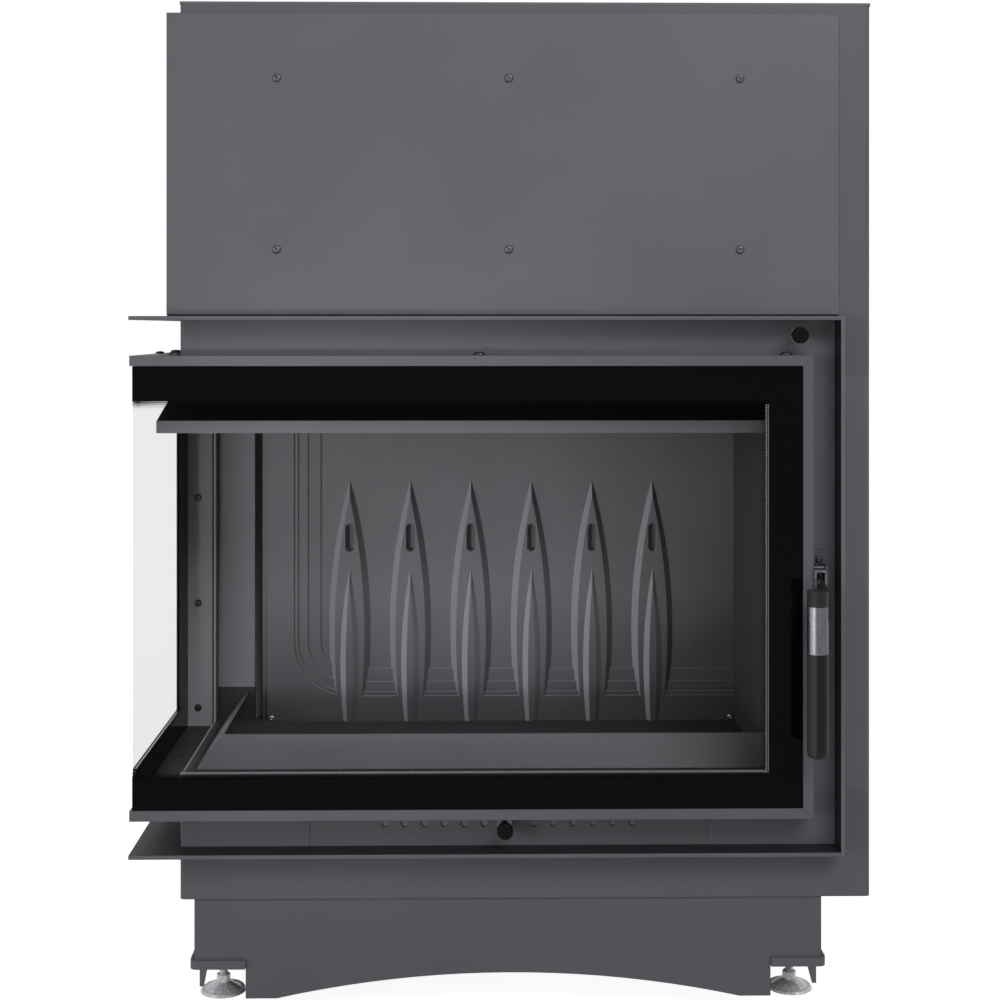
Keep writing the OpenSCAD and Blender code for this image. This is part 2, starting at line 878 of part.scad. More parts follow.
module foot(x, d) {
    color(zinc) from_front() translate([x, d, 0]) {
        cylinder(h = pad_h, r1 = pad_d / 2, r2 = pad_d / 2 * pad_top_share, $fn = 64);
        translate([0, 0, pad_h]) cylinder(h = cone_h, r1 = pad_d / 2 * cone_share, r2 = hub_d / 2, $fn = 12);
        translate([0, 0, pad_h + cone_h]) cylinder(h = hub_h, r = hub_d / 2, $fn = 6);
        translate([0, 0, pad_h + cone_h + hub_h]) cylinder(h = rod_h, r = foot_rod_d / 2, $fn = 48);
    }
}

module foot_front_left() { foot(fire_x - foot_dx, foot_d[0]); }
module foot_front_right() { foot(fire_x + foot_dx, foot_d[0]); }
module foot_rear_left() { foot(fire_x - foot_dx, foot_d[1]); }
module foot_rear_right() { foot(fire_x + foot_dx, foot_d[1]); }

// Hinge at the rear outer corner of the side wing: ears with pins on the body, knuckles on the door
hinge_r = hinge_pin_d / 2;
knuckle_t = 4;
knuckle_r = hinge_r + knuckle_t;
knuckle_drop = 8;
knuckle_h = 50;
pin_h = 35;
ear_t = 8;
ear_foot = 9;
hinge_x = door_l + knuckle_r;
hinge_d = wing_len + knuckle_r;
upper_ear_z = door_top + knuckle_drop + gap;
lower_ear_z = door_z - knuckle_drop - gap - ear_t;

module hinge_ear(z) {
    block([hinge_x, body_l - sheet_t], [hinge_d - knuckle_r, hinge_d + knuckle_r], [z, z + ear_t]);
    translate([hinge_x, hinge_d, z]) cylinder(h = ear_t, r = knuckle_r, $fn = 48);
    block([body_l - sheet_t, body_l], [hinge_d - knuckle_r, hinge_d + knuckle_r + ear_foot],
          [z - ear_t, z + 2 * ear_t]);
}

module hinge_brackets() {
    color(dark_steel) from_front() {
        hinge_ear(upper_ear_z);
        hinge_ear(lower_ear_z);
        translate([hinge_x, hinge_d, upper_ear_z - pin_h]) cylinder(h = pin_h + over, r = hinge_r, $fn = 48);
        translate([hinge_x, hinge_d, lower_ear_z + ear_t - over])
            cylinder(h = pin_h + over, r = hinge_r, $fn = 48);
    }
}

module knuckle(z) {
    difference() {
        union() {
            translate([hinge_x, hinge_d, z]) cylinder(h = knuckle_h, r = knuckle_r, $fn = 48);
            block([hinge_x - knuckle_r, hinge_x + knuckle_r], [wing_len, hinge_d],
                  [max(z, door_z), min(z + knuckle_h, door_top)]);
        }
        translate([hinge_x, hinge_d, z - over])
            cylinder(h = knuckle_h + 2 * over, r = hinge_r + fit, $fn = 48);
    }
}

module door_knuckles() {
    color(dark_steel) from_front() {
        knuckle(door_z - knuckle_drop);
        knuckle(door_top + knuckle_drop - knuckle_h);
    }
}

// Door: frame bars with mitred corners on the front and on the side wing
// Outline of one level bar, from its inner edge z0 to its outer edge z1, mitred at its far end
module level_bar(a, b, z0, z1) {
    polygon([[a, z1], [b, z1], [b - frame_w, z0], [a, z0]]);
}

module upright_bar(b) {
    polygon([[b, door_z], [b, door_top], [b - frame_w, door_top - frame_w],
             [b - frame_w, door_z + frame_w]]);
}

module frame_plan(a, b) {
    level_bar(a, b, door_z + frame_w, door_z);
    level_bar(a, b, door_top - frame_w, door_top);
    upright_bar(b);
}

module door_frame_front() {
    color(graphite) from_front() difference() {
        translate([0, frame_d, 0]) rotate([90, 0, 0]) linear_extrude(frame_d) frame_plan(door_l, door_r);
        top_screw_places() turned_up() screw_hole(top_screw_d, frame_w / 2 + over);
    }
}

module door_frame_side() {
    color(graphite) from_front() difference() {
        translate([door_l, 0, 0]) rotate([90, 0, 90]) linear_extrude(wing_d) frame_plan(frame_d, wing_len);
        top_screw_places() turned_up() screw_hole(top_screw_d, frame_w / 2 + over);
    }
}

// Glass panes, set back a little from the frame, and the retainers behind them
glass_set = 1.5;
glass_in = 3.3;
glass_l = door_l + glass_in;
glass_z = [door_z + frame_w + gap, door_top - frame_w - gap];
pane_d = [glass_set, glass_set + glass_t];

module front_glass() {
    color(clear, 0.4) from_front() block([glass_l, door_r - frame_w - gap], pane_d, glass_z);
}

module side_glass() {
    color(clear, 0.4) from_front()
        block([glass_l, glass_l + glass_t], [pane_d[1] + gap, wing_len - frame_w - gap], glass_z);
}

retain_d = [pane_d[1] + gap, frame_d];
retain_x = [glass_l + glass_t + gap, wing_in];

module retainer_pair(x, d) {
    block(x, d, [door_z + frame_w, door_z + lip]);
    block(x, d, [door_top - lip, door_top - frame_w]);
}

module front_retainers() {
    color(graphite) from_front() {
        retainer_pair([retain_x[1], door_r - frame_w], retain_d);
        block([door_r - lip, door_r - frame_w], retain_d, [door_z + lip, door_top - lip]);
    }
}

module side_retainers() {
    color(graphite) from_front() difference() {
        union() {
            retainer_pair(retain_x, [retain_d[0], wing_len - frame_w]);
            block(retain_x, [wing_len - lip, wing_len - frame_w], [door_z + lip, door_top - lip]);
        }
        jamb_screw_places() screw_hole(button_d, retainer_w / 2 + over);
    }
}

// Flat seal behind the retainers, between the door and the body
seal_w = 10;

module door_seal() {
    z0 = door_z + lip - seal_w;
    z1 = door_top - lip;
    color(rope) from_front() {
        for (z = [z0, z1]) {
            block([wing_in, door_r - frame_w], [frame_d, face - gap], [z, z + seal_w]);
            block([wing_in, flange_out - gap], [face - gap, wing_len - frame_w], [z, z + seal_w]);
        }
        block([door_r - frame_w - seal_w, door_r - frame_w], [frame_d, face - gap], [z0 + seal_w, z1]);
        block([wing_in, flange_out - gap], [wing_len - frame_w - seal_w, wing_len - frame_w],
              [z0 + seal_w, z1]);
    }
}

// Screws in the door's top and in the wing's rear retainer
top_screw_d = 15;
top_screw_in = [53, 436.6, 824.6];
wing_screw_d = wing_len / 2;
jamb_screw_in = 20;
jamb_screw_up = [51.4, 206.7, 363.5];

module turned_up() {
    rotate([-90, 0, 0]) children();
}

module top_screw_places() {
    for (x = top_screw_in) translate([door_l + x, frame_d / 2, door_top]) children();
    translate([door_l + wing_d / 2, wing_screw_d, door_top]) children();
}

module jamb_screw_places() {
    for (z = jamb_screw_up) translate([glass_l + jamb_screw_in, wing_len - lip, door_z + z]) children();
}

module door_screws() {
    color(dark_steel) from_front() {
        top_screw_places() turned_up() button_screw(top_screw_d, frame_w / 2);
        jamb_screw_places() button_screw(button_d, retainer_w / 2);
    }
}

// Latch: a bracket with the pivot on the door, a lever with a hooked nose, a keeper on the body
pivot_d = 6;
pivot_up = 293.5;
pivot_z = door_z + pivot_up;
pivot_r = 4;
handle_in = 5;
handle_x = door_r - handle_in;
lever_t = 3.7;
lever_off = 8.5;
lever_x = [door_r + lever_off, door_r + lever_off + lever_t];
grip_axis = -grip_gap - grip_d / 2;
ring_top = pivot_z - cap_len;
grip_top = ring_top - ring_len;
plate_w = 3;
ear_clear = 1.2;
ear_x = [lever_x[1] + ear_clear, lever_x[1] + ear_clear + plate_w];
bracket_up = 16;
bracket_down = 9;
bracket_before = 10;
bracket_behind = 7;
bracket_d = [pivot_d - bracket_before, pivot_d + bracket_behind];

module latch_bracket() {
    top_z = pivot_z + bracket_up;
    color(brushed) from_front() {
        block([door_r, door_r + plate_w], [bracket_d[0], frame_d - pivot_d],
              [pivot_z - bracket_down - plate_w, top_z + plate_w]);
        block([door_r + plate_w, ear_x[1]], bracket_d, [top_z, top_z + plate_w]);
        block(ear_x, bracket_d, [pivot_z - bracket_down, top_z]);
        bar_across([door_r + plate_w, ear_x[0]], pivot_d, pivot_z, pivot_r);
    }
}

// The lever's plate: a hooked nose behind the pivot, and an arm that goes out and down before it
hub_t = 4;
hub_gap = 1.5;
nose_d = 22;
nose_h = 13.5;
nose_shares = [[1, -0.13], [1, 1], [0.84, 1], [0.84, 0.6]];
arm_d = pivot_d - grip_axis;
arm_h = cap_len + ring_len / 3;
arm_shares = [
    [-0.2, 0.13], [-1, -0.08], [-1, -1], [-0.72, -1], [-0.72, -0.48], [-0.44, -0.32], [-0.09, -0.17]
];
stud_r = 5;
stud_in = 7;

module lever_outline() {
    polygon(concat([for (p = nose_shares) [p[0] * nose_d, p[1] * nose_h]],
                   [for (p = arm_shares) [p[0] * arm_d, p[1] * arm_h]]));
}

module handle_lever() {
    color(dark_steel) from_front() {
        difference() {
            union() {
                bar_across([door_r + plate_w + hub_gap, lever_x[1]], pivot_d, pivot_z, pivot_r + hub_t);
                translate([lever_x[0], pivot_d, pivot_z]) rotate([90, 0, 90])
                    linear_extrude(lever_t) lever_outline();
            }
            bar_across([door_r, lever_x[1] + over], pivot_d, pivot_z, pivot_r + fit);
        }
        translate([handle_x, grip_axis, ring_top]) cylinder(h = cap_len, r = grip_d / 2, $fn = 64);
        bar_across([handle_x, lever_x[0] + lever_t / 2], grip_axis + stud_in, ring_top + cap_len / 2, stud_r);
    }
}

ring_set = 0.1;

module handle_ring() {
    color(brushed) from_front() translate([handle_x, grip_axis, grip_top])
        cylinder(h = ring_len, r = grip_d / 2 - ring_set, $fn = 64);
}

end_h = grip_d / 4;
end_share = 0.5;
end_steps = 6;

module handle_grip() {
    r = grip_d / 2;
    color(black) from_front() translate([handle_x, grip_axis, grip_top - grip_len])
        rotate_extrude($fn = 64) polygon(concat(
            [[0, 0]],
            [for (a = [0:90 / end_steps:90])
                [r * (end_share + (1 - end_share) * sin(a)), end_h * (1 - cos(a))]],
            [[r, grip_len], [0, grip_len]]
        ));
}

keeper_d = 14;
keeper_up = 18;
keeper_r = 4;
keeper_gap = 5.4;
keeper_h = 25;
keeper_low = 3;
keeper_screw_d = 8.8;
keeper_x = [lever_x[1] + keeper_gap, lever_x[1] + keeper_gap + plate_w];
keeper_z = pivot_z + keeper_up;

module keeper_screw_place() {
    translate([lever_x[1] + plate_w / 2, face - plate_w, keeper_z + keeper_up - keeper_screw_d]) children();
}

module latch_keeper() {
    pin_d = pivot_d + keeper_d;
    low = keeper_z - keeper_low;
    color(zinc) from_front() {
        difference() {
            block([lever_x[0] - 2 * plate_w, keeper_x[1]], [face - plate_w, face], [low, low + keeper_h]);
            keeper_screw_place() screw_hole(keeper_screw_d, plate_w);
        }
        block(keeper_x, [pin_d - keeper_r - keeper_low, face - plate_w],
              [low - keeper_low, keeper_z + keeper_r]);
        bar_across([lever_x[0] - keeper_r, keeper_x[0]], pin_d, keeper_z, keeper_r);
        keeper_screw_place() button_screw(keeper_screw_d, plate_w);
    }
}

// Bushes of the two control rods
module bush(x, z, d) {
    translate([x, d, z]) rotate([-90, 0, 0]) difference() {
        union() {
            cylinder(h = bush_len, r = bush_r, $fn = 48);
            translate([0, 0, -bush_flange_t])
                cylinder(h = bush_flange_t, r = bush_r + bush_flange_w, $fn = 48);
        }
        translate([0, 0, -bush_flange_t - over])
            cylinder(h = bush_len + bush_flange_t + 2 * over, r = rod_d / 2 + fit, $fn = 48);
    }
}

module control_bushes() {
    color(brushed) from_front() {
        bush(damper_x, damper_z, face);
        bush(air_x, air_z, face);
    }
}

// Round knob with a domed face and a neck, as shares of its diameter and its length
knob_out = 4;
knob_front = -knob_out;
knob_len = 17;
knob_shares = [
    [0, 0], [0.42, 0], [0.48, 0.06], [0.5, 0.15], [0.5, 0.53], [0.46, 0.65], [0.3, 0.76], [0.26, 1], [0, 1]
];

module knob(x, z) {
    translate([x, knob_front, z]) rotate([-90, 0, 0])
        rotate_extrude($fn = 64) polygon([for (p = knob_shares) [p[0] * knob_d, p[1] * knob_len]]);
}

// Damper: the rod's cross pin turns the flap by its slotted crank
crank_pin_r = 3;
crank_pin_l = 16;
crank_t = 5;
crank_back = 6;
crank_x = damper_x - rod_d / 2 - crank_back;
pin_d = throat_d + damper_travel / 2;

module damper_rod() {
    color(black) from_front() {
        knob(damper_x, damper_z);
        bar_deep(damper_x, [knob_front + knob_len, pin_d + rod_d / 2], damper_z, rod_d / 2);
        bar_across([damper_x - crank_pin_l, damper_x], pin_d, damper_z, crank_pin_r);
    }
}

flap_gap = 5;
crank_w = 12;
crank_play = 0.6;
crank_long = 7;
web_w = 8;
crank_rest = atan(damper_travel / 2 / arm_l);
crank_reach = arm_l / cos(crank_rest);

module crank_plan() {
    slot_r = crank_pin_r + crank_play;
    difference() {
        union() {
            circle(r = crank_w / 2, $fn = 48);
            translate([-crank_w / 2, -crank_reach - crank_long]) square([crank_w, crank_reach + crank_long]);
        }
        translate([-slot_r, -crank_reach - slot_r]) square([2 * slot_r, crank_reach - arm_l + 2 * slot_r]);
    }
}

module damper_flap() {
    color(dark_steel) from_front() translate([0, throat_d, spindle_z]) {
        block([fire_x - throat_w / 2 + flap_gap, fire_x + throat_w / 2 - flap_gap],
              [-throat_l / 2 + flap_gap, throat_l / 2 - flap_gap],
              [spindle_drop - shell_t / 2, spindle_drop + shell_t / 2]);
        block([fire_x - throat_w / 2 + flap_gap, fire_x + throat_w / 2 - flap_gap],
              [-web_w / 2, web_w / 2], [0, spindle_drop - shell_t / 2]);
        bar_across([bearing_x[0] - flap_gap, crank_x], 0, 0, spindle_r);
        translate([crank_x - crank_t, 0, 0]) rotate([crank_rest, 0, 0]) rotate([90, 0, 90])
            linear_extrude(crank_t) crank_plan();
    }
}

// Air slide: a plate under the floor's slot, moved by the lower rod
slide_t = 3;
slide_over = 5;
slide_tab = 10;

module air_control() {
    slide_z = floor_z - shell_t - gap;
    color(black) from_front() {
        knob(air_x, air_z);
        bar_deep(air_x, [knob_front + knob_len, grate_d + slide_tab], air_z, rod_d / 2);
        block([air_x - slide_tab, air_x + slide_tab], [grate_d + slide_tab - slide_t, grate_d + slide_tab],
              [air_z - rod_d / 2, slide_z]);
        block([fire_x - grate_w / 2 - slide_over, fire_x + grate_w / 2 + slide_over],
              [grate_d - slide_over, grate_d + grate_l + slide_over], [slide_z - slide_t, slide_z]);
    }
}

upper_front();
right_column();
lower_front();
left_side_upper();
left_side_lower();
left_side_rear();
right_side();
rear_panel();
top_panel();
bottom_panel();
casing_cover();
cover_screws();
upper_trim();
right_trim();
lower_trim();
vent_panel();
side_opening_frame();
firebox_rear();
firebox_right();
firebox_floor();
throat_plate();
smoke_dome();
flue_collar();
back_plate();
right_lining();
left_lining();
sill_plate();
hearth_plate();
log_guard_front();
log_guard_side();
guard_bolts();
baffle();
air_box();
air_spigot();
plinth_front();
plinth_frame();
foot_brackets();
hinge_brackets();
latch_keeper();
control_bushes();
door_frame_front();
door_frame_side();
front_retainers();
side_retainers();
front_glass();
side_glass();
door_seal();
door_screws();
door_knuckles();
latch_bracket();
handle_lever();
handle_ring();
handle_grip();
damper_rod();
damper_flap();
air_control();
foot_front_left();
foot_front_right();
foot_rear_left();
foot_rear_right();
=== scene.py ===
from math import cos, pi, radians, sin

import bmesh
import bpy
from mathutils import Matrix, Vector


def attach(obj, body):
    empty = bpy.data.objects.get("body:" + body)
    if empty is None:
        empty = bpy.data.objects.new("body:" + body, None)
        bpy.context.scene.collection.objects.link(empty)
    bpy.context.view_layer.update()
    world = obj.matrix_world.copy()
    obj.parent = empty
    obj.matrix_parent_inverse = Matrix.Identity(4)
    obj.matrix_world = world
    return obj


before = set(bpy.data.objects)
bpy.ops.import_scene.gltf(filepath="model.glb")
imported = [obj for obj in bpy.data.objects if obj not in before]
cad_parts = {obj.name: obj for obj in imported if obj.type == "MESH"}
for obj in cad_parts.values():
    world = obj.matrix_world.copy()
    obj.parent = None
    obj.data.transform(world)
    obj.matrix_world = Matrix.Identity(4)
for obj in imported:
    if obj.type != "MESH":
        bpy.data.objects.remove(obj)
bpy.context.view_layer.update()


# Camera: level, two metres in front of the trim and turned a little to the right.
# The shift frames the insert as the photograph does.
EYE = Vector((-0.055, -2.248, 0.870))
TURN = radians(-0.788)
LENS, SENSOR = 57.6, 36.0
SHIFT_X, SHIFT_Y = 0.018, -0.172

view = bpy.data.cameras.new("view")
view.lens = LENS
view.sensor_width = SENSOR
view.shift_x = SHIFT_X
view.shift_y = SHIFT_Y
camera = bpy.data.objects.new("camera", view)
camera.location = EYE
camera.rotation_euler = (pi / 2, 0, TURN)
bpy.context.scene.collection.objects.link(camera)
bpy.context.scene.camera = camera
bpy.context.scene.view_settings.view_transform = "Standard"


# Firebox shell: rolled steel sheets, welded, with the thin blue-black scale of the mill left on them.
# The rear sheet shows between the cast plates, in a pale tone that is painted light in the shaded gaps.
def srgb(code):
    channels = [int(code[i:i + 2], 16) / 255 for i in (1, 3, 5)]
    return [c / 12.92 if c <= 0.04045 else ((c + 0.055) / 1.055) ** 2.4 for c in channels] + [1.0]


def grey(value):
    return [value, value, value, 1.0]


# Adds one shader node with its settings and inputs. An input is a value, a socket, or a node, which
# stands for its first output. The stops are the places and colours of a colour ramp.
def add(tree, kind, inputs=(), stops=(), **settings):
    made = tree.nodes.new("ShaderNode" + kind)
    for name, value in settings.items():
        setattr(made, name, value)
    for element, (position, colour) in zip(made.color_ramp.elements if stops else (), stops):
        element.position = position
        element.color = colour
    for key, value in inputs.items() if isinstance(inputs, dict) else enumerate(inputs):
        if isinstance(value, bpy.types.Node):
            value = value.outputs[0]
        if isinstance(value, bpy.types.NodeSocket):
            tree.links.new(value, made.inputs[key])
        else:
            made.inputs[key].default_value = value
    return made


def new_material(name):
    material = bpy.data.materials.new(name)
    material.use_nodes = True
    tree = material.node_tree
    tree.nodes.clear()
    return material, tree, add(tree, "TexCoord").outputs["Object"]


def dress(material, *names):
    for name in names:
        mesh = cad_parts[name].data
        mesh.materials.clear()
        mesh.materials.append(material)


# The part of a noise's range that runs from the darker tone to the lighter one.
NOISE_LOW, NOISE_HIGH = 0.35, 0.65
SPECK_SHARE, SMOOTHER, ROUGHER, GRAIN_STRENGTH = 0.3, 0.06, 0.08, 0.5


# A coat or skin: broad clouds of tone, a fine grain in tone, gloss and relief, and edges that are
# rounded as paint and castings round them. Scales count the grains or clouds in a metre: clouds are
# 200 mm wide. A paint's grain is about 0.5 mm and would not show, so it is drawn 1.1 mm wide.
def coated(name, dark, light, rough=0.52, gloss=0.3, edge=0.0009, grain=0.00012, grain_scale=900,
           cloud_scale=5.0, stretch=(1, 1, 1)):
    material, tree, place = new_material(name)
    along = add(tree, "Mapping", {"Vector": place, "Scale": stretch})
    clouds = add(tree, "TexNoise", {"Vector": along, "Scale": cloud_scale, "Detail": 4.0})
    specks = add(tree, "TexNoise", {"Vector": along, "Scale": grain_scale, "Detail": 2.0})
    tones = ((NOISE_LOW, srgb(dark)), (NOISE_HIGH, srgb(light)))
    tone = add(tree, "MixRGB", {"Fac": SPECK_SHARE, "Color1": add(tree, "ValToRGB", [clouds], stops=tones),
                                "Color2": add(tree, "ValToRGB", [specks], stops=tones)})
    glosses = ((NOISE_LOW, grey(rough - SMOOTHER)), (NOISE_HIGH, grey(rough + ROUGHER)))
    rounded = add(tree, "Bevel", {"Radius": edge}, samples=4)
    shader = add(tree, "BsdfPrincipled", {
        "Base Color": tone, "Roughness": add(tree, "ValToRGB", [specks], stops=glosses),
        "Specular IOR Level": gloss, "Normal": add(tree, "Bump", {
            "Strength": GRAIN_STRENGTH, "Distance": grain, "Height": specks, "Normal": rounded})})
    add(tree, "OutputMaterial", [shader])
    return material


# Mill scale is dark, dull and a little patchy, with a grain of 2.5 mm. The rear sheet's pale, flat coat is
# painted light, which lifts the shade in the gaps it shows through.
mill_scale = coated("mill_scale", "#242326", "#2f2e31", rough=0.6, grain_scale=400)
dress(mill_scale, "firebox_right", "firebox_floor", "throat_plate", "smoke_dome",
      "flue_collar", "air_box", "air_spigot", "bottom_panel", "damper_flap")
rear_sheet_painted_light = coated("rear_sheet_painted_light", "#737276", "#7d7c80", rough=0.7, grain_scale=400)
dress(rear_sheet_painted_light, "firebox_rear")


# Casing: 3 mm folded steel sheets, sprayed with heat-proof graphite paint. The coat is matt, with a
# fine orange peel and a slight violet cast, and it thins at the folds, which catch the light.
casing_coat = coated("casing_coat", "#58565c", "#5f5d63")
dress(casing_coat, "right_column", "left_side_upper", "left_side_lower", "left_side_rear",
      "right_side", "rear_panel", "top_panel", "casing_cover")
# The front sheets above and below the door and the vent panel have darker copies of the casing paint: painted
# shade.
shaded_front_coat = coated("shaded_front_coat", "#525056", "#57555b")
dress(shaded_front_coat, "upper_front", "lower_front")
shaded_vent_coat = coated("shaded_vent_coat", "#525055", "#57555a")
dress(shaded_vent_coat, "vent_panel")


# Slot shade: a strip of black fibre felt under the cover's lower edge, 2 mm thick. It fills the slot
# over the trim as painted shade: a dark strip put where the slot lies in shade.
def loft(name, rings, material, body):
    mesh = bpy.data.meshes.new(name)
    shape = bmesh.new()
    rows = [[shape.verts.new(point) for point in ring] for ring in rings]
    for low, high in zip(rows, rows[1:]):
        for i in range(len(low)):
            j = (i + 1) % len(low)
            shape.faces.new((low[i], low[j], high[j], high[i]))
    shape.faces.new(rows[0][::-1])
    shape.faces.new(rows[-1])
    bmesh.ops.recalc_face_normals(shape, faces=shape.faces)
    shape.to_mesh(mesh)
    shape.free()
    mesh.materials.append(material)
    made = bpy.data.objects.new(name, mesh)
    bpy.context.scene.collection.objects.link(made)
    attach(made, body)


FELT_LEFT, FELT_RIGHT, FELT_FRONT, FELT_REAR = -0.4266, 0.4276, -0.2142, -0.2132
FELT_TOP, FELT_T, FELT_ROUND = 0.8873, 0.0021, 0.0004

# Felt has no gloss, and its fibres are drawn 0.8 mm wide, coarser than they are, so that they show.
slot_shade_felt = coated("slot_shade_felt", "#1f1e21", "#2b2a2d", rough=0.9, gloss=0.05, edge=0.0004, grain=0.0003,
                    grain_scale=1200)
strip = [(FELT_FRONT, FELT_TOP), (FELT_FRONT, FELT_TOP - FELT_T + FELT_ROUND),
         (FELT_FRONT + FELT_ROUND, FELT_TOP - FELT_T), (FELT_REAR, FELT_TOP - FELT_T), (FELT_REAR, FELT_TOP)]
loft("slot_shade_strip", [[(x, y, z) for y, z in strip] for x in (FELT_LEFT, FELT_RIGHT)], slot_shade_felt, "body")


# Cover screws: six button heads of turned steel, blackened, each with a small socket.
# They hold the cover to the casing.

# Bare metal: fine lines in tone, gloss and relief, and rubbed edges. Turning and grinding marks are
# finer than a pixel, so they are drawn about 4 mm wide, and stretched along the way of the tool.
LINE_SMOOTHER, LINE_ROUGHER, LINE_DEPTH = 0.07, 0.1, 0.0001


def bare(name, dark, light, rough=0.3, stretch=(1, 1, 1), line_scale=260, edge=0.0004, relief=0.25,
         metallic=1.0):
    material, tree, place = new_material(name)
    along = add(tree, "Mapping", {"Vector": place, "Scale": stretch})
    lines = add(tree, "TexNoise", {"Vector": along, "Scale": line_scale, "Detail": 4.0})
    tones = ((NOISE_LOW, srgb(dark)), (NOISE_HIGH, srgb(light)))
    glosses = ((NOISE_LOW, grey(rough - LINE_SMOOTHER)), (NOISE_HIGH, grey(rough + LINE_ROUGHER)))
    rounded = add(tree, "Bevel", {"Radius": edge}, samples=4)
    shader = add(tree, "BsdfPrincipled", {
        "Base Color": add(tree, "ValToRGB", [lines], stops=tones),
        "Roughness": add(tree, "ValToRGB", [lines], stops=glosses),
        "Metallic": metallic, "Normal": add(tree, "Bump", {
            "Strength": relief, "Distance": LINE_DEPTH, "Height": lines, "Normal": rounded})})
    add(tree, "OutputMaterial", [shader])
    return material


# Blackened steel is satin: its round heads show the light above and the dark below.
dress(bare("cover_screw_steel", "#4a494d", "#5c5b5f", rough=0.34), "cover_screws")


# Trim: L-shaped shelves above and below the door and a narrow plate at its right, of the casing's
# sheet and paint, screwed on from inside.

# Lays another tone over a coat where the mask is 1.
def tone_over(material, mask, code):
    tree = material.node_tree
    shader = next(node for node in tree.nodes if node.type == "BSDF_PRINCIPLED")
    place = next(node for node in tree.nodes if node.type == "TEX_COORD").outputs["Object"]
    colour = shader.inputs["Base Color"]
    over = add(tree, "MixRGB", {"Fac": mask(tree, place), "Color1": colour.links[0].from_socket,
                                "Color2": srgb(code)})
    tree.links.new(over.outputs[0], colour)


FACING_SPAN = 0.25


# A mask that is 1 where the surface faces along one axis of the part, and 0 where it faces another way.
def facing(axis, sign, start=0.5):
    def mask(tree, place):
        normal = add(tree, "SeparateXYZ", [add(tree, "TexCoord").outputs["Normal"]])
        return add(tree, "MapRange", [normal.outputs[axis], sign * start, sign * (start + FACING_SPAN)])
    return mask


# The lower shelf's top and the plate's inner side lie in the door's shade, which is painted on them as
# a near-black tone.
trim_coat = coated("trim_coat", "#545258", "#5a585e")
dress(trim_coat, "upper_trim")
shaded_trim = coated("shaded_trim", "#555359", "#5b595f")
tone_over(shaded_trim, facing("Z", 1), "#1c1b1e")
dress(shaded_trim, "lower_trim")
plate_coat_shaded_inside = coated("plate_coat_shaded_inside", "#5c5a60", "#626066")
tone_over(plate_coat_shaded_inside, facing("X", -1), "#121113")
dress(plate_coat_shaded_inside, "right_trim")


# Plinth: a front plate with an arch and notched corners, and folded plates behind it. The brackets at
# its corners carry the feet, and all of it has darker copies of the casing's matt paint: painted shade
# towards the floor.
shaded_plinth_coat = coated("shaded_plinth_coat", "#504e54", "#555359")
dress(shaded_plinth_coat, "plinth_front", "plinth_frame")
shaded_bracket_coat = coated("shaded_bracket_coat", "#535157", "#59575d")
dress(shaded_bracket_coat, "foot_brackets")


# Levelling feet: turned and threaded steel, screwed into nuts in the brackets.
# Bright zinc plating is smooth and pale, with a faint blue cast. The thread's pitch is 1.75 mm.
THREAD_PITCH, THREAD_RELIEF, ROD_LOW = 0.00175, 0.0003, 0.0225

zinc_plate = bare("zinc_plate", "#ccced2", "#e6e8eb", rough=0.24, metallic=0.15)
tree = zinc_plate.node_tree
place = next(node for node in tree.nodes if node.type == "TEX_COORD").outputs["Object"]
normal = next(node for node in tree.nodes if node.type == "BSDF_PRINCIPLED").inputs["Normal"]
height = add(tree, "SeparateXYZ", [place]).outputs["Z"]
turn = add(tree, "Math", [height, 2 * pi / THREAD_PITCH], operation="MULTIPLY")
wave = add(tree, "Math", [turn], operation="SINE")
on_rod = add(tree, "Math", [height, ROD_LOW], operation="GREATER_THAN")
ridge = add(tree, "Math", [wave, on_rod], operation="MULTIPLY")
thread = add(tree, "Bump", {"Strength": 0.7, "Distance": THREAD_RELIEF, "Height": ridge,
                            "Normal": normal.links[0].from_socket})
tree.links.new(thread.outputs[0], normal)
dress(zinc_plate, "foot_front_left", "foot_front_right", "foot_rear_left", "foot_rear_right")


# Lining: plates of grey cast iron from sand moulds, brushed off, coated with thin stove black and
# hooked into the shell. The hearth plate with its grate lies on the shell's floor.
SHADE_TOP, SHADE_FULL_Z = 0.47, 0.29
SHADE_LEFT, SHADE_FULL_X = 0.10, 0.52
PATCH_SCALE, PATCH_SHARE, SHADE_LEAST, SHADE_MOST = 7.0, 0.5, 0.6, 0.85
LIT_FLANK_SHARE = 0.75


# Painted shade: the plate is darker towards the floor and to the right, in patches about 140 mm wide.
def painted_shade_low_right(tree, place):
    split = add(tree, "SeparateXYZ", [place])
    low = add(tree, "MapRange", [split.outputs["Z"], SHADE_TOP, SHADE_FULL_Z], clamp=False)
    right = add(tree, "MapRange", [split.outputs["X"], SHADE_LEFT, SHADE_FULL_X], clamp=False)
    depths = [add(tree, "Math", [share, 0.0], operation="MAXIMUM") for share in (low, right)]
    depth = add(tree, "Math", depths, operation="ADD")
    patches = add(tree, "TexNoise", {"Vector": place, "Scale": PATCH_SCALE, "Detail": 4.0})
    cover = add(tree, "Math", [patches, PATCH_SHARE, SHADE_LEAST], operation="MULTIPLY_ADD")
    laid = add(tree, "Math", [depth, cover], operation="MULTIPLY")
    return add(tree, "Math", [laid, SHADE_MOST], operation="MINIMUM")


# Painted light: the ribs' left flanks are paler, as if lit from the left.
def lit_left_flanks(tree, place):
    return add(tree, "Math", [facing("X", -1, 0.2)(tree, place), LIT_FLANK_SHARE], operation="MULTIPLY")


# A mask that is 1 below a limit on one axis of the part.
def below(axis, limit):
    def mask(tree, place):
        split = add(tree, "SeparateXYZ", [place])
        return add(tree, "Math", [split.outputs[axis], limit], operation="LESS_THAN")
    return mask


STREAKS = (1, 1, 0.35)
POST_SHADE_TOP = 0.333
